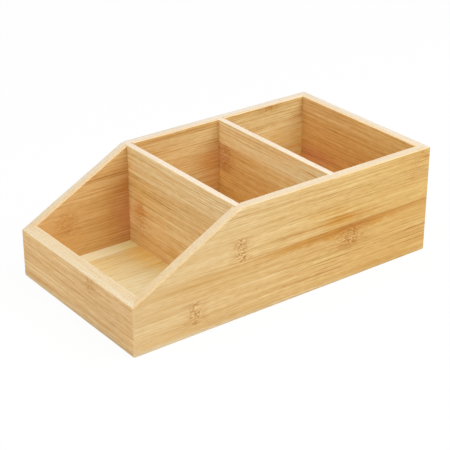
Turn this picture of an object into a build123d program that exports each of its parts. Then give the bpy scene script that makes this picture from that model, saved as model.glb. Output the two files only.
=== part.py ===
from build123d import *
import os

os.makedirs("parts", exist_ok=True)

# Open bamboo box with three equal compartments in a row. X is the width, Y the
# length with the low front board at -Y, Z is up. The origin is the centre of
# the footprint, on the surface that the box stands on. All sizes are in mm.

# Outside of the box
length = 305.0
width = 168.0
height = 97.0
front_height = 42.5

# Boards
wall = 9.5
divider_thickness = 6.2
base_thickness = 4.5

# The base board sits up in a rabbet that runs round the foot of the walls
base_recess = 2.0
rabbet_depth = 4.0
base_clearance = 0.2

# The ends of the dividers are let into grooves in the side boards
groove_depth = 3.0
groove_clearance = 0.05

# The side slopes would meet the rim this far behind the front divider's face,
# and this arc rounds the meeting
slope_set_back = 1.5
break_radius = 14.0

# Sanded edges; two mitred boards share each rounded corner, half the turn each
corner_radius = 1.4
edge_radius = 0.7
half_corner = 45

# Places that follow from the sizes above
half_length = length / 2
half_width = width / 2
inner_half_length = half_length - wall
inner_half_width = half_width - wall
corner_half_length = half_length - corner_radius
corner_half_width = half_width - corner_radius
floor_level = base_recess + base_thickness
compartment = (length - 2 * wall - 2 * divider_thickness) / 3
front_divider_face = compartment - inner_half_length
rear_divider_face = front_divider_face + divider_thickness + compartment
divider_places = (
    (0, front_divider_face + divider_thickness / 2),
    (0, rear_divider_face + divider_thickness / 2),
)
slope_end = front_divider_face + slope_set_back
rabbet_width = 2 * (inner_half_width + rabbet_depth)
rabbet_length = 2 * (inner_half_length + rabbet_depth)
groove_span = 2 * (inner_half_width + groove_depth)
groove_width = divider_thickness + 2 * groove_clearance

# Side view of the box, which cuts the tops of the boards
with BuildSketch(Plane.YZ) as side_view:
    with BuildLine():
        Polyline(
            (-half_length, 0),
            (half_length, 0),
            (half_length, height),
            (slope_end, height),
            (-half_length, front_height),
            close=True,
        )
    make_face()
    fillet(side_view.vertices().group_by(Axis.Y)[-1].sort_by(Axis.X)[0], break_radius)

# Right side board: its plan has a mitre at each end and half of each rounded
# corner, and its top follows the side view
with BuildPart() as right_side_panel:
    with BuildSketch(Plane.XY):
        with BuildLine():
            back_arc = CenterArc((corner_half_width, corner_half_length), corner_radius, 0, half_corner)
            front_arc = CenterArc(
                (corner_half_width, -corner_half_length), corner_radius, -half_corner, half_corner
            )
            Polyline(
                back_arc @ 1,
                (inner_half_width, inner_half_length),
                (inner_half_width, -inner_half_length),
                front_arc @ 0,
            )
            Line(front_arc @ 1, back_arc @ 0)
        make_face()
    extrude(amount=height)
    extrude(side_view.sketch, amount=width, both=True, mode=Mode.INTERSECT)
    long_edges = right_side_panel.edges().filter_by(Plane.YZ).filter_by(Axis.Z, reverse=True)
    fillet(long_edges, edge_radius)
    with BuildSketch(Plane.XY):
        Rectangle(rabbet_width, rabbet_length)
    extrude(amount=floor_level, mode=Mode.SUBTRACT)
    with BuildSketch(Plane.XY.offset(floor_level)):
        with Locations(*divider_places):
            Rectangle(groove_span, groove_width)
    extrude(amount=height, mode=Mode.SUBTRACT)
right_side_panel.part.label = "right_side_panel"
export_step(right_side_panel.part, "parts/right_side_panel.step")

# Left side board, the mirror image of the right one
with BuildPart() as left_side_panel:
    mirror(right_side_panel.part, about=Plane.YZ)
left_side_panel.part.label = "left_side_panel"
export_step(left_side_panel.part, "parts/left_side_panel.step")

# Front board: the side view bevels its top edge in the plane of the slopes
with BuildPart() as front_panel:
    with BuildSketch(Plane.XY):
        with BuildLine():
            left_arc = CenterArc(
                (-corner_half_width, -corner_half_length), corner_radius, half_corner - 180, half_corner
            )
            right_arc = CenterArc(
                (corner_half_width, -corner_half_length), corner_radius, -90, half_corner
            )
            Line(left_arc @ 1, right_arc @ 0)
            Polyline(
                right_arc @ 1,
                (inner_half_width, -inner_half_length),
                (-inner_half_width, -inner_half_length),
                left_arc @ 0,
            )
        make_face()
    extrude(amount=height)
    extrude(side_view.sketch, amount=width, both=True, mode=Mode.INTERSECT)
    fillet(front_panel.edges().filter_by(Axis.X), edge_radius)
    with BuildSketch(Plane.XY):
        Rectangle(rabbet_width, rabbet_length)
    extrude(amount=floor_level, mode=Mode.SUBTRACT)
front_panel.part.label = "front_panel"
export_step(front_panel.part, "parts/front_panel.step")

# Back board, at the full height
with BuildPart() as back_panel:
    with BuildSketch(Plane.XY):
        with BuildLine():
            right_arc = CenterArc(
                (corner_half_width, corner_half_length), corner_radius, half_corner, half_corner
            )
            left_arc = CenterArc((-corner_half_width, corner_half_length), corner_radius, 90, half_corner)
            Line(right_arc @ 1, left_arc @ 0)
            Polyline(
                left_arc @ 1,
                (-inner_half_width, inner_half_length),
                (inner_half_width, inner_half_length),
                right_arc @ 0,
            )
        make_face()
    extrude(amount=height)
    fillet(back_panel.edges().filter_by(Axis.X), edge_radius)
    with BuildSketch(Plane.XY):
        Rectangle(rabbet_width, rabbet_length)
    extrude(amount=floor_level, mode=Mode.SUBTRACT)
back_panel.part.label = "back_panel"
export_step(back_panel.part, "parts/back_panel.step")

# Base board, up against the shoulder of the rabbet and clear of its sides
with BuildPart() as base_panel:
    with BuildSketch(Plane.XY.offset(base_recess)):
        Rectangle(rabbet_width - 2 * base_clearance, rabbet_length - 2 * base_clearance)
    extrude(amount=base_thickness)
base_panel.part.label = "base_panel"
export_step(base_panel.part, "parts/base_panel.step")

# Rear divider, standing on the base board with its ends in the grooves
with BuildPart() as rear_divider:
    with BuildSketch(Plane.XY.offset(floor_level)):
        with Locations(divider_places[1]):
            Rectangle(groove_span - 2 * groove_clearance, divider_thickness)
    extrude(amount=height - floor_level)
    fillet(rear_divider.faces().sort_by(Axis.Z)[-1].edges().filter_by(Axis.X), edge_radius)
rear_divider.part.label = "rear_divider"
export_step(rear_divider.part, "parts/rear_divider.step")

# Front divider, of the same shape and level with the rim
with BuildPart() as front_divider:
    with BuildSketch(Plane.XY.offset(floor_level)):
        with Locations(divider_places[0]):
            Rectangle(groove_span - 2 * groove_clearance, divider_thickness)
    extrude(amount=height - floor_level)
    fillet(front_divider.faces().sort_by(Axis.Z)[-1].edges().filter_by(Axis.X), edge_radius)
front_divider.part.label = "front_divider"
export_step(front_divider.part, "parts/front_divider.step")
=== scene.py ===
import math

import bmesh
import bpy
import numpy as np
from mathutils import Matrix, Vector


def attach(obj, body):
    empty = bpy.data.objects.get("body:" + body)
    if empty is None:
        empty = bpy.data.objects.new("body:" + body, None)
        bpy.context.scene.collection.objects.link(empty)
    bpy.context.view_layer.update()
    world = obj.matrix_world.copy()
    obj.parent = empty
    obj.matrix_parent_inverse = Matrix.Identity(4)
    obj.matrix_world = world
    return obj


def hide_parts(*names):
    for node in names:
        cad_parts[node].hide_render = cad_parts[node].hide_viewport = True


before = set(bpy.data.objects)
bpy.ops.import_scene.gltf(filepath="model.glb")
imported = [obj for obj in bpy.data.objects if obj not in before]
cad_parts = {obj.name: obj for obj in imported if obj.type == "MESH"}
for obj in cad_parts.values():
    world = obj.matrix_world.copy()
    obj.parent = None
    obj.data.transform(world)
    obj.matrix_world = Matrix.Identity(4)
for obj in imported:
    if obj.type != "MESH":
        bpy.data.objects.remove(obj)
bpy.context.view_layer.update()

# Lengths in the tables below are in millimetres, and every mesh is written in
# metres. X is the width, Y the length with the low front at -Y, Z is up.
MM = 0.001

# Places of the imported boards
HALF_LENGTH = 152.5
HALF_WIDTH = 84.0
HEIGHT = 97.0
FRONT_HEIGHT = 42.5
WALL = 9.5
INNER_LENGTH = HALF_LENGTH - WALL
INNER_WIDTH = HALF_WIDTH - WALL
BASE_LOW = 2.0
BASE_TOP = 6.5
BASE_HALF_WIDTH = 78.3
BASE_HALF_LENGTH = 146.8
RABBET = 4.0
GROOVE = 3.0
GROOVE_GAP = 0.05
DIVIDER = 6.2
FRONT_DIVIDER = -51.8
REAR_DIVIDER = 45.6
DIVIDER_HALF_SPAN = 77.45

# The slope of the sides, the arc that ends it, and the rounded arrises. SUPPORT
# is the flat margin beside an arris, and CAP_INSET keeps mitred ends apart.
SLOPE_END = -50.3
BREAK_RADIUS = 14.0
CORNER_RADIUS = 1.4
ARRIS = 0.7
SUPPORT = 0.4
CAP_INSET = 0.08
BASE_BEVEL = 0.3

# Waves (size, turns, phase) of a hand-sanded arris, and how deep they go
SANDING_WAVES = ((1.0, 0.083, 1.0), (0.7, 0.21, 2.3), (0.5, 0.47, 4.1))
SANDING_DEPTH = 0.13

# How pale a sanded rounded arris is, from 0 to 1 of a corner's painted highlight
ARRIS_WEAR = 0.4

# How finely the sections are divided
ARRIS_STEPS = 5
FACE_STEPS = 9
TOP_STEPS = 3
BASE_STEPS = 16

# The rows along the boards: how many or how far apart, where the even ones end,
# and how far they stay from the break and from the walls of a groove
BREAK_ROWS = 8
SIDE_ROW_STEP = 7.0
END_ROWS = 21
DIVIDER_ROWS = 25
BASE_ROWS = 33
SIDE_BODY_END = 137
END_BODY_END = 68
BREAK_CLEARANCE = 3
ROW_MARGIN = 0.3
GROOVE_STEP = 1e-4

# Points closer than this many metres are one, and flatter edges than this angle
# are shaded smooth
MERGE_DISTANCE = 1e-7
SMOOTH_BELOW = math.radians(32)

# Rows of a mitred end: the angles of its rounded corner, how much of the corner
# each row has, and how far the rows fan out on the inner face
CORNER_DEGREES = (0, 15, 30, 43, 45)
CORNER_WEIGHTS = (0.4, 1.0, 1.0, 1.0, 1.0)
FAN = 3.0

slope = (HEIGHT - FRONT_HEIGHT) / (SLOPE_END + HALF_LENGTH)
slope_angle = math.atan(slope)
break_run = BREAK_RADIUS * math.tan(slope_angle / 2)
break_end = SLOPE_END + break_run
break_start = break_end - BREAK_RADIUS * math.sin(slope_angle)


# Shapes


def top_height(y):
    """Height of the top of the box at y: slope, rounded break, level rim."""
    if y >= break_end:
        return HEIGHT
    if y > break_start:
        return HEIGHT - BREAK_RADIUS + math.sqrt(BREAK_RADIUS**2 - (break_end - y) ** 2)
    return FRONT_HEIGHT + slope * (y + HALF_LENGTH)


def top_secant(y):
    """How much longer a vertical line is than one square to the top at y."""
    if y >= break_end:
        return 1.0
    if y > break_start:
        return BREAK_RADIUS / math.sqrt(BREAK_RADIUS**2 - (break_end - y) ** 2)
    return math.sqrt(1 + slope**2)


def rim_top(y):
    """The dividers are level with the rim, the front one too."""
    return HEIGHT


def base_top(y):
    """The base board is level."""
    return BASE_TOP


def level_secant(y):
    """top_secant of a level top."""
    return 1.0


def sanding(place, seed):
    """Size of a hand-sanded arris at a place along the board, about 1."""
    waves = sum(
        size * math.sin(place * turns + seed * phase) for size, turns, phase in SANDING_WAVES
    )
    return 1 + SANDING_DEPTH * waves


def quarter_round():
    """Setbacks of a rounded arris from the two faces that meet in it."""
    steps = []
    for k in range(ARRIS_STEPS + 1):
        turn = math.radians(90 * k / ARRIS_STEPS)
        steps.append((ARRIS * (1 - math.cos(turn)), ARRIS * (1 - math.sin(turn))))
    return steps


def arris(corner, side):
    """Entries of a rounded top edge from the face to the top (side 1) or back
    (side -1). An entry is (across, across shift, share of height, drop, rise)."""
    steps = quarter_round()[::side]
    return [(corner, side * shift, 1.0, drop, 0.0) for shift, drop in steps]


def spread(low, high, count):
    """The places that divide the way from low to high into equal parts."""
    return [low + (high - low) * k / count for k in range(1, count)]


def wall_loop():
    """Section of a wall board, from the shoulder of its rabbet up the inner
    face, over the top, down the outer face and back below."""
    low = ARRIS + SUPPORT
    loop = [(0.0, 0.0, 0.0, ARRIS, BASE_TOP)]
    loop += [(0.0, 0.0, h, low, BASE_TOP) for h in spread(0, 1, FACE_STEPS)]
    loop += [(0.0, 0.0, 1.0, low, 0.0)]
    loop += arris(0.0, 1)
    loop += [(ARRIS, SUPPORT, 1.0, 0.0, 0.0), (GROOVE, 0.0, 1.0, 0.0, 0.0)]
    loop += [(a, 0.0, 1.0, 0.0, 0.0) for a in spread(GROOVE, WALL - ARRIS - SUPPORT, TOP_STEPS)]
    loop += [(WALL - ARRIS, -SUPPORT, 1.0, 0.0, 0.0)]
    loop += arris(WALL, -1)
    loop += [(WALL, 0.0, 1.0, low, 0.0)]
    loop += [(WALL, 0.0, 1 - h, low, low) for h in spread(0, 1, FACE_STEPS)]
    loop += [(WALL, 0.0, 0.0, 0.0, low)]
    loop += [(WALL, -shift, 0.0, 0.0, rise) for shift, rise in quarter_round()]
    loop += [(WALL - ARRIS, -SUPPORT, 0.0, 0.0, 0.0), (RABBET, 0.0, 0.0, 0.0, 0.0)]
    loop += [(RABBET, 0.0, 0.0, 0.0, BASE_TOP), (GROOVE, 0.0, 0.0, 0.0, BASE_TOP)]
    return loop


def divider_loop():
    """Section of a divider, standing on the base, both top edges rounded."""
    low = ARRIS + SUPPORT
    loop = [(0.0, 0.0, 0.0, 0.0, BASE_TOP)]
    loop += [(0.0, 0.0, h, low, BASE_TOP) for h in spread(0, 1, FACE_STEPS)]
    loop += [(0.0, 0.0, 1.0, low, 0.0)]
    loop += arris(0.0, 1)
    loop += [(ARRIS, SUPPORT, 1.0, 0.0, 0.0)]
    loop += [(a, 0.0, 1.0, 0.0, 0.0) for a in spread(low, DIVIDER - ARRIS - SUPPORT, TOP_STEPS)]
    loop += [(DIVIDER - ARRIS, -SUPPORT, 1.0, 0.0, 0.0)]
    loop += arris(DIVIDER, -1)
    loop += [(DIVIDER, 0.0, 1.0, low, 0.0)]
    loop += [(DIVIDER, 0.0, 1 - h, low, BASE_TOP) for h in spread(0, 1, FACE_STEPS)]
    loop += [(DIVIDER, 0.0, 0.0, 0.0, BASE_TOP)]
    return loop


def base_loop():
    """Section of the base board, with a small bevel on its four long edges."""
    wide, bevel = 2 * BASE_HALF_WIDTH, BASE_BEVEL
    places = spread(bevel, wide - bevel, BASE_STEPS)
    loop = [(0.0, 0.0, 0.0, 0.0, BASE_LOW + bevel), (0.0, 0.0, 1.0, bevel, 0.0)]
    loop += [(bevel, 0.0, 1.0, 0.0, 0.0)]
    loop += [(a, 0.0, 1.0, 0.0, 0.0) for a in places]
    loop += [(wide - bevel, 0.0, 1.0, 0.0, 0.0), (wide, 0.0, 1.0, bevel, 0.0)]
    loop += [(wide, 0.0, 0.0, 0.0, BASE_LOW + bevel), (wide - bevel, 0.0, 0.0, 0.0, BASE_LOW)]
    loop += [(wide - a, 0.0, 0.0, 0.0, BASE_LOW) for a in places]
    loop += [(bevel, 0.0, 0.0, 0.0, BASE_LOW)]
    return loop


def inset_loop(points, distance):
    """The closed section moved inwards by a small distance."""
    pts = np.array(points)
    before = pts - np.roll(pts, 1, 0)
    after = np.roll(pts, -1, 0) - pts
    before /= np.linalg.norm(before, axis=1, keepdims=True)
    after /= np.linalg.norm(after, axis=1, keepdims=True)
    tangent = before + after
    tangent /= np.linalg.norm(tangent, axis=1, keepdims=True)
    normal = np.stack([tangent[:, 1], -tangent[:, 0]], 1)
    return pts + normal * distance


class Row:
    """One cross-section of a board: the plan points of its inner and outer
    face, whether it lies in a groove, on a rounded corner or on a joint, and
    whether that corner gets a painted highlight (1) or a painted shade line (-1)."""

    def __init__(self, inner, outer, groove=False, corner=0.0, inset=0.0, corner_light=1.0):
        self.inner = Vector(inner)
        self.outer = Vector(outer)
        self.groove = groove
        self.corner = corner
        self.inset = inset
        self.corner_light = corner_light


def loft(name, rows, loop, thickness, seed, top=top_height, secant=top_secant, along=1):
    """A closed board whose section loop follows the rows. Its edge attribute is
    above 0 where a sanded arris is paler or a corner has a painted highlight, and
    below 0 where a corner has a painted shade line."""
    bm = bmesh.new()
    edge_layer = bm.verts.layers.float.new("edge")
    rings = []
    for row in rows:
        # Corners and ends have the plain arris, and it varies between them
        middle = (row.inner + row.outer) / 2
        free = 1 - min(1.0, row.corner + (1.0 if row.inset else 0.0))
        size = 1 + (sanding(middle[along], seed) - 1) * free
        section = []
        for across, shift, share, drop, rise in loop:
            place = across + shift * size
            plan = row.inner.lerp(row.outer, place / thickness)
            high = top(plan.y) - drop * size * secant(plan.y)
            section.append((place, rise + (high - rise) * share))
        if row.inset:
            section = [tuple(p) for p in inset_loop(section, row.inset)]
        ring = []
        for (place, z), (across, shift, share, drop, rise) in zip(section, loop):
            # A groove sets the inner face back from the shoulder upwards
            if row.groove and z > BASE_TOP - GROOVE_GAP:
                place = max(place, GROOVE)
            plan = row.inner.lerp(row.outer, place / thickness)
            vert = bm.verts.new((plan.x * MM, plan.y * MM, z * MM))
            # Sanded rounded arrises are a little paler; the outer rounded corner gets a painted
            # highlight or a painted shade line instead
            rounded = 1.0 if 0 < abs(shift) < ARRIS and 0 < drop + rise < ARRIS else 0.0
            at_corner = row.corner == 1.0 and place > thickness - ARRIS
            vert[edge_layer] = row.corner_light if at_corner else ARRIS_WEAR * rounded
            ring.append(vert)
        rings.append(ring)

    count = len(loop)
    for ring, following in zip(rings, rings[1:]):
        for k in range(count):
            n = (k + 1) % count
            bm.faces.new((ring[k], ring[n], following[n], following[k]))
    bm.faces.new(rings[0])
    bm.faces.new(list(reversed(rings[-1])))
    bmesh.ops.remove_doubles(bm, verts=bm.verts, dist=MERGE_DISTANCE)
    bmesh.ops.recalc_face_normals(bm, faces=bm.faces)
    for face in bm.faces:
        face.smooth = True
    for e in bm.edges:
        e.smooth = len(e.link_faces) == 2 and e.calc_face_angle(0.0) < SMOOTH_BELOW
    mesh = bpy.data.meshes.new(name)
    bm.to_mesh(mesh)
    bm.free()
    obj = bpy.data.objects.new(name, mesh)
    bpy.context.scene.collection.objects.link(obj)
    return obj


def corner_points(sign_x, sign_y, from_side):
    """Plan points of half a rounded corner, from its face to the mitre."""
    points = []
    for degrees in CORNER_DEGREES:
        turn = math.radians(degrees)
        long, short = math.cos(turn), math.sin(turn)
        if not from_side:
            long, short = short, long
        x = HALF_WIDTH - CORNER_RADIUS + CORNER_RADIUS * long
        y = HALF_LENGTH - CORNER_RADIUS + CORNER_RADIUS * short
        points.append((sign_x * x, sign_y * y))
    return points


def mitre_rows(sign_x, sign_y, from_side):
    """Rows that fan out to a mitre, from the body of the board to its end."""
    rows = []
    outer_points = corner_points(sign_x, sign_y, from_side)
    last = len(outer_points) - 1
    for k, outer in enumerate(outer_points):
        back = FAN * (last - k) / last
        if from_side:
            inner = (sign_x * INNER_WIDTH, sign_y * (INNER_LENGTH - back))
        else:
            inner = (sign_x * (INNER_WIDTH - back), sign_y * INNER_LENGTH)
        inset = CAP_INSET if k == last else 0.0
        # Painted highlight on the corners at +X -Y and -X +Y, painted shade line on the other
        # two
        corner_light = 1.0 if sign_x != sign_y else -1.0
        rows.append(Row(inner, outer, corner=CORNER_WEIGHTS[k], inset=inset, corner_light=corner_light))
    return rows


def side_board(name, sign, seed):
    """A long side board at +X (sign 1) or -X (sign -1), with its two grooves."""
    bends = np.linspace(break_start, break_end, BREAK_ROWS)
    clear = BREAK_CLEARANCE
    straight = np.arange(-SIDE_BODY_END, SIDE_BODY_END + 1, SIDE_ROW_STEP)
    straight = [y for y in straight if not break_start - clear < y < break_end + clear]
    places = [(y, False) for y in (*straight, *bends)]
    for face in (FRONT_DIVIDER, REAR_DIVIDER):
        low, high = face - GROOVE_GAP, face + DIVIDER + GROOVE_GAP
        places = [p for p in places if p[0] < low - ROW_MARGIN or p[0] > high + ROW_MARGIN]
        inside = [y for y in bends if low + ROW_MARGIN < y < high - ROW_MARGIN]
        places += [(low, False), (low + GROOVE_STEP, True)]
        places += [(high - GROOVE_STEP, True), (high, False)]
        places += [(y, True) for y in inside]
    places.sort()
    rows = mitre_rows(sign, -1, True)[::-1]
    for y, groove in places:
        rows.append(Row((sign * INNER_WIDTH, y), (sign * HALF_WIDTH, y), groove))
    rows += mitre_rows(sign, 1, True)
    return loft(name, rows, wall_loop(), WALL, seed)


def end_board(name, sign, seed):
    """The back board (sign 1) or the low front board (sign -1)."""
    rows = mitre_rows(-1, sign, False)[::-1]
    for x in np.linspace(-END_BODY_END, END_BODY_END, END_ROWS):
        rows.append(Row((x, sign * INNER_LENGTH), (x, sign * HALF_LENGTH)))
    rows += mitre_rows(1, sign, False)
    return loft(name, rows, wall_loop(), WALL, seed, along=0)


def divider_board(name, face, seed):
    """A divider whose front face is at the given Y."""
    places = np.linspace(-DIVIDER_HALF_SPAN, DIVIDER_HALF_SPAN, DIVIDER_ROWS)
    rows = [Row((x, face), (x, face + DIVIDER)) for x in places]
    return loft(name, rows, divider_loop(), DIVIDER, seed, rim_top, level_secant, along=0)


def base_board(name):
    """The bottom board, bevelled at both ends too."""
    ends = BASE_HALF_LENGTH
    places = [-ends, *np.linspace(-ends + BASE_BEVEL, ends - BASE_BEVEL, BASE_ROWS), ends]
    rows = []
    for y in places:
        inset = BASE_BEVEL if abs(y) == ends else 0.0
        rows.append(Row((-BASE_HALF_WIDTH, y), (BASE_HALF_WIDTH, y), inset=inset))
    return loft(name, rows, base_loop(), 2 * BASE_HALF_WIDTH, 0.0, base_top, level_secant)


# Materials


def srgb(red, green, blue):
    """A screen colour of 0 to 255 as a linear RGBA colour."""
    out = []
    for c in (red / 255, green / 255, blue / 255):
        out.append(c / 12.92 if c <= 0.04045 else ((c + 0.055) / 1.055) ** 2.4)
    return (*out, 1.0)


def tint(red, green, blue):
    """A linear RGBA colour to multiply another one by."""
    return (red, green, blue, 1)


def even(red, green, blue):
    """The same tint at both ends."""
    return (tint(red, green, blue), tint(red, green, blue))


class Shader:
    """Short ways to add linked shader nodes to a material or a world."""

    def __init__(self, owner):
        owner.use_nodes = True
        self.tree = owner.node_tree
        self.tree.nodes.clear()

    def add(self, kind, inputs=(), **settings):
        """A node with its settings and with values or links for its inputs."""
        node = self.tree.nodes.new(kind)
        for key, value in settings.items():
            setattr(node, key, value)
        for key, value in dict(inputs).items():
            if isinstance(value, bpy.types.NodeSocket):
                self.tree.links.new(value, node.inputs[key])
            else:
                node.inputs[key].default_value = value
        return node

    def math(self, operation, a, b=0.0, c=0.0):
        return self.add("ShaderNodeMath", {0: a, 1: b, 2: c}, operation=operation).outputs[0]

    def vector(self, operation, a, b=(0, 0, 0), c=(0, 0, 0)):
        node = self.add("ShaderNodeVectorMath", {0: a, 1: b, 2: c}, operation=operation)
        return node.outputs["Value" if operation == "LENGTH" else "Vector"]

    def join(self, x, y, z):
        return self.add("ShaderNodeCombineXYZ", {0: x, 1: y, 2: z}).outputs[0]

    def split(self, vector):
        return self.add("ShaderNodeSeparateXYZ", {0: vector}).outputs

    def noise(self, vector, detail=2.0, roughness=0.5):
        inputs = {"Vector": vector, "Scale": 1.0, "Detail": detail, "Roughness": roughness}
        return self.add("ShaderNodeTexNoise", inputs).outputs[0]

    def smooth(self, value, low, high, to_low=0.0, to_high=1.0):
        """A smooth step from to_low at low to to_high at high."""
        inputs = {0: value, 1: low, 2: high, 3: to_low, 4: to_high}
        return self.add("ShaderNodeMapRange", inputs, interpolation_type="SMOOTHSTEP").outputs[0]

    def mix(self, share, a, b, blend="MIX"):
        """Colour a, with a share of b over it."""
        inputs = {0: share, 6: a, 7: b}
        return self.add("ShaderNodeMix", inputs, data_type="RGBA", blend_type=blend).outputs[2]

    def ramp(self, value, stops):
        """The colour at a value between stops of (place, colour)."""
        node = self.add("ShaderNodeValToRGB", {0: value})
        elements = node.color_ramp.elements
        while len(elements) < len(stops):
            elements.new(0.5)
        for element, (place, colour) in zip(elements, stops):
            element.position = place
            element.color = colour
        return node.outputs[0]

    def bell(self, value, low, high):
        """1 while value is below low, 0 above high."""
        return self.smooth(value, low, high, 1.0, 0.0)


# Dark to pale gold of the fibres, the colours laid over them, and the tints that
# they are multiplied by
GOLD = (
    (0.00, (178, 120, 60)),
    (0.25, (207, 156, 86)),
    (0.50, (224, 181, 115)),
    (0.75, (236, 203, 144)),
    (1.00, (246, 222, 176)),
)
# Brown of bands and stains, also laid on as painted shade in some corners
BROWN_TINT = tint(0.80, 0.55, 0.12)
# Painted light bounced from the floor onto the foot of the walls
FLOOR_BOUNCE_TINT = tint(0.98, 1.12, 1.45)
HALO_TINT = tint(0.90, 0.76, 0.58)
# Reddish painted shade in inner corners
REDDISH_SHADE_TINT = tint(0.99, 0.86, 1.24)
SPECK = srgb(180, 116, 46)
GLINT = srgb(252, 228, 164)
SEAM = srgb(172, 116, 54)
# Pale of sanded arrises and of the painted highlight on two corners
WEAR_AND_HIGHLIGHT = srgb(252, 226, 176)
# Painted shade line on the other two corners
EDGE_SHADE_TINT = tint(0.84, 0.81, 0.76)
BEVEL_TINT = tint(1.03, 0.965, 0.83)
SLOPE_FOOT_TINT = tint(1.01, 0.91, 0.72)
SLOPE_TOP_TINT = tint(1.03, 0.985, 0.90)
RIM_LINE_TINT = tint(0.91, 0.84, 0.73)
RIM_CLOUD_TINT = tint(1.0, 0.975, 0.97)
PALEST = (0.99, 0.95, 0.88)

# A knuckle (see Strip) that is off the board and has no strength
NO_KNUCKLE = (9999.0, 5.0, 0.0, 0.0)

# Length and width in mm and detail of the stretched noises of the fibres
BROAD = (150.0, 5.5, 1.0)
MIDDLE = (75.0, 1.6, 1.0)
FINE = (42.0, 0.60, 2.0)
HAIR = (10.0, 0.28, 1.0)
DARK_LINES = (120.0, 0.75, 0.0)

# Sizes in mm of the other noises, along the board, across it and through it
SLOW_SIZE = (80.0, 16.0)
WILD_SIZE = (5.0, 3.5)
MOTTLE_SIZE = (8.0, 3.0)
DOT_SIZE = (2.9, 1.1)
DASH_SIZE = (7.0, 0.95)
FLECK_SIZE = (2.2, 0.5, 0.5)
RIM_CLOUD_SIZE = (14.0, 5.0, 2.2)
BEND_WIDTH = 3.0
FADE_LENGTH = 45.0
PATCH_LENGTH = 9.0

# Weights of the broad, middle, fine, hair and mottle noises in the grain, and of
# the dark lines
GRAIN_WEIGHTS = (0.38, 0.44, 0.60, 0.62, 0.28)
DARK_WEIGHT = -0.36

# Soft steps, each from its beginning to its end, some with the values there: parts
# of a knuckle or a cloud in its own size, lengths in mm, and shares of a noise or
# of facing upwards
KNUCKLE_CORE = (0.6, 1.3)
KNUCKLE_RING = (0.7, 3.4)
DARK_STEP = (0.605, 0.67)
GRAIN_STEP = (-110.0, 0.0)
# Height in mm over which the painted floor bounce fades out
FLOOR_BOUNCE_STEP = (1.5, 5.5)
BAND_LENGTH_STEP = (40.0, 110.0)
BAND_EDGE_STEP = (-0.10, 0.45)
CLOUD_STEP = (0.1, 1.2)
DOT_STEP = (0.47, 0.60)
DASH_STEP = (0.48, 0.64)
GLINT_STEP = (0.32, 0.46, 1.0, 0.0)
SEAM_STEP = (0.10, 0.38)
FADE_STEP = (0.40, 0.65, 0.05, 0.45)
CUT_STEP = (0.62, 0.87)
LEVEL_STEP = (0.945, 0.965)
SLOPE_STEP = (-160.0, -60.0)
RIM_LINE_STEP = (0.55, 1.05)
FLECK_STEP = (0.48, 0.64, 0.0, 0.9)
RIM_CLOUD_STEP = (0.35, 0.65)
PATCH_STEP = (0.3, 0.7, 0.14, 0.42)

# How strongly the colours are laid on
DOT_SHARE = 0.88
DASH_SHARE = 0.5
HALO_SHARE = 0.4
GLINT_SHARE = 0.75
CUT_SHARE = 0.96

# Pitch of the glued strips, how far the two faces of a board are from showing the
# same stretch of the noises, and how far a knuckle's edge bends along the board
PITCH = 20.7
OTHER_FACE = 57.0
KNUCKLE_BEND = 5.0

# How far in mm the fibres waver along the board and swirl beside a knuckle, and
# half the width of the soft line between the plies
WAVER = 2.4
SWIRL = 2.6
PLY_BLUR = 0.7

# Mean roughness, and the depth in metres of the finest relief
ROUGHNESS = 0.52
BUMP_DEPTH = 0.00015


class Strip:
    """One bamboo strip of a board: its edges across the board, how pale and how
    brown it is, how strong its dark lines are, its knuckle (place along the
    board, half length, roundness, strength) and the brown band at its upper
    edge (strength, place along the board)."""

    def __init__(
        self, low, high, tone=0.5, warm=0.0, lines=0.5, knuckle=NO_KNUCKLE, band=(0.0, 0.0)
    ):
        self.low = low
        self.middle = (low + high) / 2
        self.half = (high - low) / 2
        self.rest = ((tone, warm, lines), knuckle[:3], (knuckle[3], *band))

    def vectors(self, shift):
        return ((self.middle, self.half, shift), *self.rest)


def strip_values(s, across, strips, seed):
    """Four vectors that hold the values of the strip that a point lies in. The
    shift gives each strip of each board fibres of its own."""
    rows = [strip.vectors((seed * 173.0 + k * 391.0) % 1999) for k, strip in enumerate(strips)]
    found = list(rows[0])
    for k in range(1, len(strips)):
        step = s.math("GREATER_THAN", across, strips[k].low)
        for v in range(len(found)):
            change = tuple(b - a for a, b in zip(rows[k - 1][v], rows[k][v]))
            found[v] = s.vector("MULTIPLY_ADD", step, change, found[v])
    return [s.split(v) for v in found]


class Wood:
    """What is particular to one board: the axes along its fibres, across its
    strips and through it, the place of its middle, its strips, the tints of its
    two faces, each at both ends, which hold the wood's colour and also painted
    light, most inner faces paler and bluer against their interreflected shade, the
    colours of its two plies on the rim and the place of the line between them, the
    strength of its grain at the front and at the back, and the brown marks, some of
    stain and some of painted shade in corners (along, across, half length, half
    width, strength) and tinted clouds, some of them painted shade or painted light
    (the same, with a tint) of one of its faces, the low one (0) or the high one (1)."""

    def __init__(
        self,
        axes,
        middle,
        strips,
        seed,
        tints,
        rims,
        line=None,
        grain=(1.0, 1.0),
        stains=(),
        clouds=(),
        marked_face=0,
    ):
        self.axes, self.middle, self.strips, self.seed = axes, middle, strips, seed
        self.tints, self.rims = tints, rims
        self.line = middle if line is None else line
        self.grain, self.stains, self.clouds = grain, stains, clouds
        self.marked_face = marked_face
        self.along_box = axes[0] == "Y"
        self.reach = 150.0 if self.along_box else 75.0


def stretched(s, places, sizes, detail=1.0):
    """A noise over two or three places, each with its own size in mm."""
    axes = [s.math("DIVIDE", place, size) for place, size in zip(places, sizes)]
    axes += [0.0] * (3 - len(axes))
    return s.noise(s.join(*axes), detail)


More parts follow.
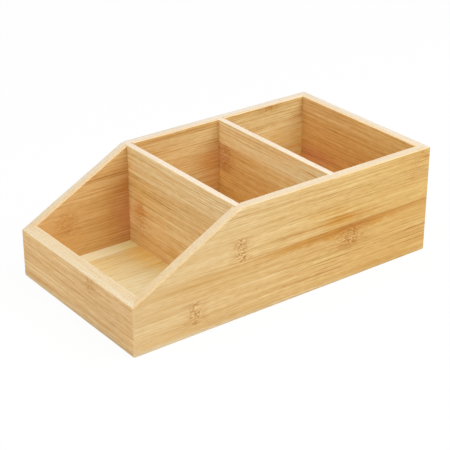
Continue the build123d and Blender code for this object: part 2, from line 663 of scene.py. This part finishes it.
def bamboo(name, wood):
    """Laminated bamboo with long fibres, strips, knuckles and pale cut rims."""
    material = bpy.data.materials.new(name)
    s = Shader(material)
    coords = s.add("ShaderNodeTexCoord").outputs
    place = s.split(s.vector("MULTIPLY", coords["Object"], (1 / MM,) * 3))
    normal = s.split(coords["Normal"])
    along, across, depth = ("XYZ".index(a) for a in wood.axes)
    l, a, d = place[along], place[across], place[depth]

    values = strip_values(s, a, wood.strips, wood.seed)
    (centre, half, shift), (tone, warm, lines) = values[:2]
    (knot, knot_half, knot_round), (knot_strength, band, band_place) = values[2:]
    side = s.math("GREATER_THAN", d, wood.middle)
    l_own = s.math("ADD", l, s.math("MULTIPLY_ADD", side, OTHER_FACE, shift))
    off_centre = s.math("SUBTRACT", a, centre)
    within = s.math("DIVIDE", off_centre, half)
    edge_gap = s.math("SUBTRACT", half, s.math("ABSOLUTE", off_centre))

    # Knuckles: how far the point is from the one of its strip, 1 at its border
    bend = s.noise(s.join(shift, s.math("DIVIDE", a, BEND_WIDTH), 0.0), 1.0)
    l_bent = s.math("ADD", l, s.math("MULTIPLY_ADD", bend, KNUCKLE_BEND, -KNUCKLE_BEND / 2))
    near = s.math("DIVIDE", s.math("SUBTRACT", l_bent, knot), knot_half)
    round_part = s.math("MULTIPLY", s.math("MULTIPLY", within, within), knot_round)
    near = s.math("SQRT", s.math("MULTIPLY_ADD", near, near, round_part))
    core = s.math("MULTIPLY", s.bell(near, *KNUCKLE_CORE), knot_strength)
    ring = s.math("MULTIPLY", s.bell(near, *KNUCKLE_RING), knot_strength)

    # Fibres waver a little along the board and more beside a knuckle
    slow = stretched(s, (l_own, a), SLOW_SIZE)
    wild = stretched(s, (l_own, a), WILD_SIZE)
    waver = s.math("MULTIPLY_ADD", slow, WAVER, -WAVER / 2)
    swirl = s.math("MULTIPLY_ADD", wild, SWIRL, s.math("MULTIPLY_ADD", within, -1.5, -SWIRL / 2))
    a_bent = s.math("ADD", a, s.math("MULTIPLY_ADD", swirl, ring, waver))

    def fibres(length, width, detail):
        return stretched(s, (l_own, a_bent, d), (length, width, width), detail)

    broad, middle, fine, hair = fibres(*BROAD), fibres(*MIDDLE), fibres(*FINE), fibres(*HAIR)
    mottle = stretched(s, (l_own, a), MOTTLE_SIZE, 2.0)
    dark = s.smooth(fibres(*DARK_LINES), *DARK_STEP)

    grain = 0.0
    for fibre, weight in zip((broad, middle, fine, hair, mottle), GRAIN_WEIGHTS):
        grain = s.math("MULTIPLY_ADD", s.math("SUBTRACT", fibre, 0.5), weight, grain)
    grain = s.math("MULTIPLY_ADD", s.math("MULTIPLY", dark, lines), DARK_WEIGHT, grain)
    level = s.math("MULTIPLY_ADD", grain, s.smooth(l, *GRAIN_STEP, *wood.grain), tone)
    colour = s.ramp(level, [(at, srgb(*c)) for at, c in GOLD])
    # Each face's tint holds the wood's colour and also painted light: most inner faces paler and
    # bluer against their interreflected shade
    far = s.smooth(l, -wood.reach, wood.reach)
    face_colour_and_light_tint = s.mix(side, *[s.mix(far, *ends) for ends in wood.tints])
    colour = s.mix(1.0, colour, face_colour_and_light_tint, "MULTIPLY")
    # Painted light bounced from the floor: the lowest few millimetres of the walls are less
    # saturated and bluer
    if wood.axes[1] == "Z":
        colour = s.mix(s.bell(a, *FLOOR_BOUNCE_STEP), colour, FLOOR_BOUNCE_TINT, "MULTIPLY")

    # Brown bands and stains, and brown painted shade in some corners, keep the streaks of the
    # fibres
    streak = s.math("MULTIPLY_ADD", middle, 2.0, -1.0)
    from_band = s.math("ABSOLUTE", s.math("SUBTRACT", l_bent, band_place))
    ragged = s.math("MULTIPLY_ADD", mottle, 1.4, s.math("MULTIPLY_ADD", streak, 0.5, -0.7))
    reach = s.math("MULTIPLY_ADD", from_band, -0.005, s.math("ADD", ragged, within))
    in_band = s.smooth(reach, *BAND_EDGE_STEP)
    in_band = s.math("MULTIPLY", s.bell(from_band, *BAND_LENGTH_STEP), in_band)
    brown = s.math("MULTIPLY_ADD", in_band, band, warm)
    flat = s.join(l, a, 0.0)
    on_marked_face = s.math("COMPARE", side, float(wood.marked_face), 0.5)

    def cloud(at_l, at_a, half_l, half_a):
        away = s.vector("SUBTRACT", flat, (at_l, at_a, 0))
        away = s.vector("MULTIPLY", away, (1 / half_l, 1 / half_a, 0))
        away = s.math("MULTIPLY_ADD", streak, 0.8, s.vector("LENGTH", away))
        return s.math("MULTIPLY", s.bell(away, *CLOUD_STEP), on_marked_face)

    for *where, strength in wood.stains:
        brown = s.math("MULTIPLY_ADD", cloud(*where), strength, brown)
    brown = s.math("MINIMUM", brown, 1.0)
    colour = s.mix(brown, colour, BROWN_TINT, "MULTIPLY")
    # Tinted clouds, some of them painted shade or painted light in corners
    for *where, cloud_tint in wood.clouds:
        colour = s.mix(cloud(*where), colour, cloud_tint, "MULTIPLY")

    # Short dashes and glints of the knuckles, feathering out to both sides
    dots = stretched(s, (l_own, a_bent), DOT_SIZE)
    dashes = stretched(s, (l_own, a_bent), DASH_SIZE)
    specks = s.math("MULTIPLY", s.smooth(dots, *DOT_STEP), core)
    specks = s.math("MULTIPLY", specks, DOT_SHARE)
    dashes = s.math("MULTIPLY", s.smooth(dashes, *DASH_STEP), ring)
    specks = s.math("MAXIMUM", specks, s.math("MULTIPLY", dashes, DASH_SHARE))
    glints = s.math("MULTIPLY", s.smooth(dots, *GLINT_STEP), core)
    glints = s.math("MULTIPLY", glints, s.math("SUBTRACT", 1.0, brown))
    glints = s.math("MULTIPLY", glints, s.math("MULTIPLY_ADD", knot_round, -0.6, 1.0))
    colour = s.mix(s.math("MULTIPLY", ring, HALO_SHARE), colour, HALO_TINT, "MULTIPLY")
    colour = s.mix(s.math("MULTIPLY", glints, GLINT_SHARE), colour, GLINT)
    colour = s.mix(specks, colour, SPECK)

    # Glue lines between the strips fade in and out
    fade = s.noise(s.join(s.math("DIVIDE", l, FADE_LENGTH), centre, 0.0), 1.0)
    fade = s.smooth(fade, *FADE_STEP)
    seam = s.math("MULTIPLY", s.bell(edge_gap, *SEAM_STEP), fade)
    colour = s.mix(seam, colour, SEAM)

    # Cut edges are pale: nearly white and finely lined where level, yellower
    # on the bevel and the slopes, in the two tones of the plies
    facing = s.math("ABSOLUTE", normal[across])
    rim_share = s.smooth(facing, *CUT_STEP)
    level_share = s.smooth(facing, *LEVEL_STEP)
    ply = s.smooth(d, wood.line - PLY_BLUR, wood.line + PLY_BLUR)
    rim_lines = s.math("MULTIPLY_ADD", fine, 0.9, s.math("MULTIPLY", middle, 0.6))
    rim_lines = s.smooth(rim_lines, *RIM_LINE_STEP)
    rim_colour = s.mix(ply, *[srgb(*c) for c in wood.rims])
    slope_tint = BEVEL_TINT
    if wood.along_box:
        slope_tint = s.mix(s.smooth(l, *SLOPE_STEP), SLOPE_FOOT_TINT, SLOPE_TOP_TINT)
    sloping = s.math("SUBTRACT", 1.0, level_share)
    rim_colour = s.mix(sloping, rim_colour, slope_tint, "MULTIPLY")
    rim_colour = s.mix(rim_lines, rim_colour, RIM_LINE_TINT, "MULTIPLY")
    flecks = s.smooth(stretched(s, (l_own, a, d), FLECK_SIZE), *FLECK_STEP)
    rim_colour = s.mix(flecks, rim_colour, RIM_LINE_TINT, "MULTIPLY")
    rim_clouds = s.smooth(stretched(s, (l_own, a, d), RIM_CLOUD_SIZE, 2.0), *RIM_CLOUD_STEP)
    rim_colour = s.mix(rim_clouds, rim_colour, RIM_CLOUD_TINT, "MULTIPLY")
    colour = s.mix(s.math("MULTIPLY", rim_share, CUT_SHARE), colour, rim_colour)

    # Sanded arrises are a little paler. Of the outer rounded corners, two get a
    #     painted highlight and the other two a painted shade line. The mixes take shares below 0
    #     as 0.
    edge = s.add("ShaderNodeAttribute", attribute_name="edge").outputs["Fac"]
    patchy = s.noise(s.join(s.math("DIVIDE", l, PATCH_LENGTH), a, d), 2.0)
    wear_and_highlight_share = s.math("MULTIPLY", edge, s.smooth(patchy, *PATCH_STEP))
    colour = s.mix(wear_and_highlight_share, colour, WEAR_AND_HIGHLIGHT)
    colour = s.mix(s.math("MULTIPLY", edge, -1.0), colour, EDGE_SHADE_TINT, "MULTIPLY")

    # No surface gives back more light than it gets
    colour = s.vector("MINIMUM", colour, PALEST)

    # Fibres are a little rough and raised, knuckles and cut edges rougher, and
    # specks, glue lines and dark lines a little sunk
    rough = s.math("MULTIPLY_ADD", s.math("SUBTRACT", fine, 0.5), -0.35, ROUGHNESS)
    for rougher in (specks, rim_share):
        rough = s.math("MULTIPLY_ADD", rougher, 0.12, rough)
    relief = s.math("MULTIPLY_ADD", fine, 0.5, s.math("MULTIPLY", hair, 0.5))
    for sunk, amount in ((specks, -0.3), (seam, -0.8), (dark, -0.25)):
        relief = s.math("MULTIPLY_ADD", sunk, amount, relief)
    inputs = {"Strength": 0.5, "Distance": BUMP_DEPTH, "Height": relief}
    bump = s.add("ShaderNodeBump", inputs).outputs[0]

    inputs = {
        "Base Color": colour,
        "Roughness": rough,
        "Normal": bump,
        "IOR": 1.45,
        "Specular IOR Level": 0.4,
    }
    surface = s.add("ShaderNodeBsdfPrincipled", inputs).outputs[0]
    s.add("ShaderNodeOutputMaterial", {"Surface": surface})
    return material


def even_strips(lowest, settings):
    """Strips of one pitch, lowest first, each with its own settings."""
    strips = []
    for k, own in enumerate(settings):
        low = lowest + PITCH * k
        strips.append(Strip(low, low + PITCH, **own))
    return strips


right_wood = Wood(
    axes="YZX",
    middle=HALF_WIDTH - WALL / 2,
    strips=even_strips(
        9.0 - PITCH,
        [
            dict(tone=0.50, warm=0.08, lines=0.5),
            dict(tone=0.51, lines=0.85, knuckle=(-95.5, 5.0, 0.4, 0.8)),
            dict(tone=0.495, lines=0.5, knuckle=(64.5, 10.0, 1.1, 1.0), band=(0.72, 56.0)),
            dict(tone=0.54, lines=0.3, knuckle=(-49.5, 4.6, 0.0, 0.9)),
            dict(tone=0.54, lines=0.8, knuckle=(137.0, 4.0, 0.5, 0.25)),
            dict(tone=0.57, lines=0.8, knuckle=(143.0, 3.0, 0.5, 0.5)),
        ],
    ),
    seed=1,
    tints=(even(1.10, 1.20, 1.30), (tint(1.05, 1.16, 1.40), tint(0.98, 0.96, 0.75))),
    rims=((232, 219, 195), (236, 220, 189)),
    line=80.9,
    grain=(0.72, 1.0),
    stains=(
        (55.0, 57.5, 46.0, 9.5, 0.5),
        (52.0, 57.0, 22.0, 9.0, 0.4),
        (152.0, 46.5, 26.0, 6.5, 0.35),
        (-60.0, 45.0, 105.0, 7.0, 0.42),
        (95.0, 4.0, 62.0, 5.0, 0.3),
        (148.0, 89.6, 9.0, 1.4, 0.7),
        (66.0, 31.5, 10.0, 3.0, 0.2),
        (80.0, 31.5, 8.0, 2.0, 0.2),
        (128.0, 40.0, 34.0, 6.5, 0.28),
    ),
    clouds=(
        (-48.0, 58.0, 34.0, 7.0, tint(1.07, 1.15, 1.27)),
        (35.0, 68.0, 36.0, 6.0, tint(0.98, 0.94, 0.80)),
        (38.0, 27.0, 34.0, 6.0, tint(1.05, 1.14, 1.23)),
        (-75.0, 37.0, 50.0, 6.0, tint(0.98, 0.94, 0.87)),
        (115.0, 78.0, 45.0, 5.0, tint(1.03, 1.07, 1.18)),
    ),
    marked_face=1,
)

left_wood = Wood(
    axes="YZX",
    middle=WALL / 2 - HALF_WIDTH,
    strips=even_strips(
        9.0 - PITCH,
        [
            dict(tone=0.46, warm=0.10, lines=0.3),
            dict(tone=0.48, warm=0.06, lines=0.3, knuckle=(30.0, 5.0, 0.5, 0.8)),
            dict(tone=0.50, lines=0.3, knuckle=(-115.0, 11.0, 0.8, 0.45)),
            dict(tone=0.50, lines=0.5),
            dict(tone=0.52, lines=0.8),
            dict(tone=0.46, warm=0.12, lines=0.8, knuckle=(102.0, 6.0, 0.4, 0.7)),
        ],
    ),
    seed=2,
    tints=(even(1.03, 1.04, 1.0), (tint(1.085, 1.10, 1.22), tint(1.21, 1.59, 2.17))),
    rims=((233, 226, 214), (240, 223, 196)),
    line=-78.6,
    grain=(0.8, 0.95),
    stains=(
        (-114.0, 41.0, 14.0, 12.0, 0.3),
        # Painted shade in the corner in front of the front divider
        (-55.0, 42.0, 42.0, 44.0, 0.46),
        (-56.0, 60.0, 14.0, 9.0, 0.25),
        (0.0, 93.5, 60.0, 5.0, 0.2),
        (34.0, 58.0, 16.0, 9.0, 0.3),
        (107.0, 95.0, 14.0, 4.0, 0.3),
    ),
    clouds=(
        # Reddish painted shade in the corner in front of the front divider
        (-50.0, 34.0, 26.0, 40.0, REDDISH_SHADE_TINT),
        (44.0, 54.0, 24.0, 28.0, tint(1.10, 0.95, 0.93)),
        # Painted light: paler in the corner at the back wall
        (145.0, 52.0, 24.0, 28.0, tint(1.19, 1.17, 1.12)),
        (114.0, 66.0, 12.0, 11.0, tint(0.97, 0.93, 0.80)),
    ),
    marked_face=1,
)

front_wood = Wood(
    axes="XZY",
    middle=WALL / 2 - HALF_LENGTH,
    strips=[
        Strip(-11.0, 9.5, tone=0.53, warm=0.02, lines=0.5),
        Strip(9.5, 21.0, tone=0.56, lines=0.4),
        Strip(21.0, 29.0, tone=0.455, warm=0.02, lines=0.6),
        Strip(29.0, 50.0, tone=0.52, lines=0.5, knuckle=(22.0, 6.0, 0.6, 0.5)),
    ],
    seed=3,
    tints=((tint(1.06, 1.07, 1.13), tint(0.96, 0.96, 1.02)), even(1.10, 1.20, 1.30)),
    rims=((238, 229, 210), (236, 223, 199)),
    grain=(1.12, 1.12),
    stains=(
        (-58.0, 6.5, 20.0, 2.2, 0.3),
        (23.0, 36.0, 9.0, 5.0, 0.3),
        (5.0, 37.5, 16.0, 3.5, 0.2),
    ),
    clouds=((58.0, 38.0, 32.0, 5.0, tint(1.05, 1.09, 1.18)),),
)

back_wood = Wood(
    axes="XZY",
    middle=HALF_LENGTH - WALL / 2,
    strips=even_strips(
        0.5,
        [
            dict(tone=0.44, warm=0.12, lines=0.5),
            dict(tone=0.46, warm=0.10, lines=0.6, knuckle=(38.0, 5.0, 0.4, 0.8)),
            dict(tone=0.46, warm=0.08, lines=0.6),
            dict(tone=0.48, warm=0.04, lines=0.5),
            dict(tone=0.525, warm=0.0, lines=0.6),
        ],
    ),
    seed=4,
    tints=((tint(1.055, 1.085, 1.16), tint(1.13, 1.18, 1.09)), even(1.03, 1.04, 1.0)),
    rims=((239, 220, 188), (232, 224, 209)),
    line=146.6,
    # Painted shade on the inner face, left of the middle
    stains=((-42.0, 60.0, 28.0, 9.0, 0.15), (-44.0, 47.0, 24.0, 6.0, 0.25)),
    clouds=(
        (-25.0, 51.0, 60.0, 14.0, tint(1.02, 1.04, 1.16)),
        # Reddish painted shade on the inner face, left of the middle
        (-54.0, 42.0, 40.0, 11.0, REDDISH_SHADE_TINT),
    ),
)

DIVIDER_RIMS = ((240, 230, 215), (240, 230, 215))
front_divider_wood = Wood(
    axes="XZY",
    middle=FRONT_DIVIDER + DIVIDER / 2,
    strips=[
        Strip(4.0, 24.0, tone=0.46, warm=0.0, lines=0.5),
        Strip(24.0, 49.0, tone=0.495, lines=0.5, knuckle=(-55.5, 5.5, 0.4, 0.5)),
        Strip(49.0, 73.0, tone=0.445, lines=0.6),
        Strip(73.0, 93.0, tone=0.60, lines=0.9),
        Strip(93.0, 113.0, tone=0.64, lines=0.9),
    ],
    seed=5,
    tints=((tint(1.15, 1.30, 1.61), tint(1.18, 1.35, 1.73)), even(1.15, 1.24, 1.35)),
    rims=DIVIDER_RIMS,
    stains=(
        (-57.0, 43.0, 9.0, 14.0, 0.55),
        # Painted shade along the left end, where the divider meets the wall
        (-74.5, 50.0, 3.0, 60.0, 0.5),
        (-66.0, 69.0, 12.0, 9.0, 0.2),
        (-6.0, 22.0, 12.0, 7.0, 0.35),
    ),
    clouds=(
        (-57.0, 43.0, 8.0, 12.0, tint(1.03, 0.96, 1.14)),
        (-52.0, 58.0, 24.0, 17.0, tint(0.97, 0.94, 0.80)),
        (10.0, 44.0, 36.0, 12.0, tint(1.05, 1.11, 1.22)),
        (-71.0, 28.0, 7.0, 15.0, tint(1.11, 1.14, 1.22)),
    ),
)
rear_divider_wood = Wood(
    axes="XZY",
    middle=REAR_DIVIDER + DIVIDER / 2,
    strips=[
        Strip(8.0, 29.0, tone=0.42, warm=0.12, lines=0.4),
        Strip(29.0, 50.0, tone=0.42, warm=0.12, lines=0.4, knuckle=(20.0, 5.0, 0.4, 0.8)),
        Strip(50.0, 75.0, tone=0.44, warm=0.12, lines=0.5, knuckle=(-62.0, 6.0, 0.3, 0.8)),
        Strip(75.0, 96.0, tone=0.62, lines=0.7),
        Strip(96.0, 117.0, tone=0.62, lines=0.5),
    ],
    seed=6,
    tints=((tint(1.165, 1.36, 1.74), tint(1.27, 1.51, 1.99)), even(1.15, 1.24, 1.35)),
    rims=DIVIDER_RIMS,
    # Painted shade along the left end, where the divider meets the wall
    stains=((-74.5, 60.0, 3.0, 60.0, 0.45),),
    clouds=(
        # Reddish painted shade in the left corner
        (-75.0, 62.0, 26.0, 16.0, tint(0.99, 0.91, 1.14)),
        (-68.0, 44.0, 14.0, 9.0, tint(1.12, 1.20, 1.16)),
        (10.0, 68.0, 36.0, 10.0, tint(1.04, 1.12, 1.20)),
    ),
)
base_wood = Wood(
    axes="YXZ",
    middle=(BASE_LOW + BASE_TOP) / 2,
    strips=[
        Strip(-82.0, -61.0, tone=0.88, lines=0.1),
        Strip(-61.0, -38.0, tone=0.56, lines=0.2, knuckle=(60.0, 5.0, 0.4, 0.8)),
        Strip(-38.0, -17.0, tone=0.58, lines=0.2),
        Strip(-17.0, 4.0, tone=0.64, lines=0.2),
        Strip(4.0, 25.0, tone=0.62, lines=0.2, knuckle=(100.0, 5.0, 0.4, 0.8)),
        Strip(25.0, 46.0, tone=0.58, lines=0.2),
        Strip(46.0, 67.0, tone=0.62, lines=0.2, knuckle=(-12.0, 5.0, 0.4, 0.8)),
        Strip(67.0, 88.0, tone=0.60, lines=0.2),
    ],
    seed=7,
    tints=(even(1.0, 1.0, 1.0), (tint(1.09, 1.415, 1.88), tint(1.15, 1.13, 0.80))),
    rims=((240, 222, 190), (240, 222, 190)),
    grain=(0.7, 0.7),
    clouds=(
        # Painted shade, browner, at the foot of the front divider
        (-54.0, -50.0, 20.0, 60.0, tint(1.09, 0.97, 0.68)),
        (-90.0, -6.0, 30.0, 36.0, tint(1.02, 1.07, 1.22)),
        (-72.0, -68.0, 24.0, 10.0, tint(1.08, 1.07, 1.04)),
    ),
    marked_face=1,
)

# The last number of a board is the seed of its hand-sanded arrises
boards = (
    ("right_side_panel", right_wood, side_board("right_side_board", 1, 0.4)),
    ("left_side_panel", left_wood, side_board("left_side_board", -1, 2.1)),
    ("front_panel", front_wood, end_board("front_board", -1, 3.7)),
    ("back_panel", back_wood, end_board("back_board", 1, 5.2)),
    (
        "front_divider",
        front_divider_wood,
        divider_board("front_divider_board", FRONT_DIVIDER, 1.3),
    ),
    (
        "rear_divider",
        rear_divider_wood,
        divider_board("rear_divider_board", REAR_DIVIDER, 4.4),
    ),
    ("base_panel", base_wood, base_board("base_board")),
)
for node, wood, obj in boards:
    obj.data.materials.append(bamboo("bamboo_" + node, wood))
    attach(obj, "root")
    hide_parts(node)


# Floor: white to the camera, with the object's soft shadow on it

FLOOR_HALF = 8.0
FLOOR_GREY = (0.9, 0.9, 0.9, 1)
FLOOR_GLOW = 0.95
WHITE = (1, 1, 1, 1)
corners = [(x * FLOOR_HALF, y * FLOOR_HALF, 0) for x, y in ((-1, -1), (1, -1), (1, 1), (-1, 1))]
floor_mesh = bpy.data.meshes.new("floor")
floor_mesh.from_pydata(corners, [], [(0, 1, 2, 3)])
floor = bpy.data.objects.new("floor", floor_mesh)
bpy.context.scene.collection.objects.link(floor)
floor_material = bpy.data.materials.new("floor_white")
s = Shader(floor_material)
paper = s.add("ShaderNodeBsdfDiffuse", {"Color": FLOOR_GREY}).outputs[0]
white = s.add("ShaderNodeEmission", {"Color": WHITE, "Strength": 1.0}).outputs[0]
rays = s.add("ShaderNodeLightPath").outputs
seen = s.math("MAXIMUM", rays["Is Glossy Ray"], rays["Is Transmission Ray"])
seen = s.math("MAXIMUM", rays["Is Camera Ray"], seen)
seen = s.math("MULTIPLY", seen, FLOOR_GLOW)
both = s.add("ShaderNodeMixShader", {0: seen, 1: paper, 2: white}).outputs[0]
s.add("ShaderNodeOutputMaterial", {"Surface": both})
floor_mesh.materials.append(floor_material)

# Lights: a world that is white to the camera and faint to the wood, and three
# soft lamps

WORLD_STRENGTH = 0.25
LAMP_SIZE = 1.4
LAMP_TARGET = Vector((0, 0, 0.04))
world = bpy.data.worlds.new("studio")
bpy.context.scene.world = world
s = Shader(world)
lit = s.add("ShaderNodeBackground", {"Color": WHITE, "Strength": WORLD_STRENGTH}).outputs[0]
shown = s.add("ShaderNodeBackground", {"Color": WHITE, "Strength": 1.0}).outputs[0]
rays = s.add("ShaderNodeLightPath").outputs
seen = s.math("MAXIMUM", rays["Is Camera Ray"], rays["Is Transmission Ray"])
both = s.add("ShaderNodeMixShader", {0: seen, 1: lit, 2: shown}).outputs[0]
s.add("ShaderNodeOutputWorld", {"Surface": both})


def softbox(name, place, power):
    """A square lamp that looks at the object."""
    light = bpy.data.lights.new(name, "AREA")
    light.shape = "SQUARE"
    light.size = LAMP_SIZE
    light.energy = power
    obj = bpy.data.objects.new(name, light)
    obj.location = place
    obj.rotation_euler = (LAMP_TARGET - Vector(place)).to_track_quat("-Z", "Y").to_euler()
    bpy.context.scene.collection.objects.link(obj)


softbox("top_lamp", (0.0, 0.0, 1.70), 10.8)
softbox("rear_lamp", (0.77, 0.77, 1.31), 21.0)
softbox("front_lamp", (0.17, -1.50, 0.78), 10.0)

# Camera at the photograph's viewing angle, in metres, with its lens in millimetres

AZIMUTH, ELEVATION = math.radians(53.122), math.radians(26.154)
DISTANCE = 1.176721
AIM = Vector((-0.012636, 0.006313, 0.028298))
LENS = 108.815
SENSOR = 36.0
right = Vector((math.cos(AZIMUTH), math.sin(AZIMUTH), 0))
flat = math.cos(ELEVATION)
back = Vector((math.sin(AZIMUTH) * flat, -math.cos(AZIMUTH) * flat, math.sin(ELEVATION)))
up = back.cross(right)
camera_data = bpy.data.cameras.new("camera")
camera_data.sensor_width = SENSOR
camera_data.lens = LENS
camera = bpy.data.objects.new("camera", camera_data)
turn = Matrix((right, up, back)).transposed().to_4x4()
camera.matrix_world = Matrix.Translation(AIM + DISTANCE * back) @ turn
bpy.context.scene.collection.objects.link(camera)
bpy.context.scene.camera = camera
bpy.context.scene.view_settings.view_transform = "Standard"
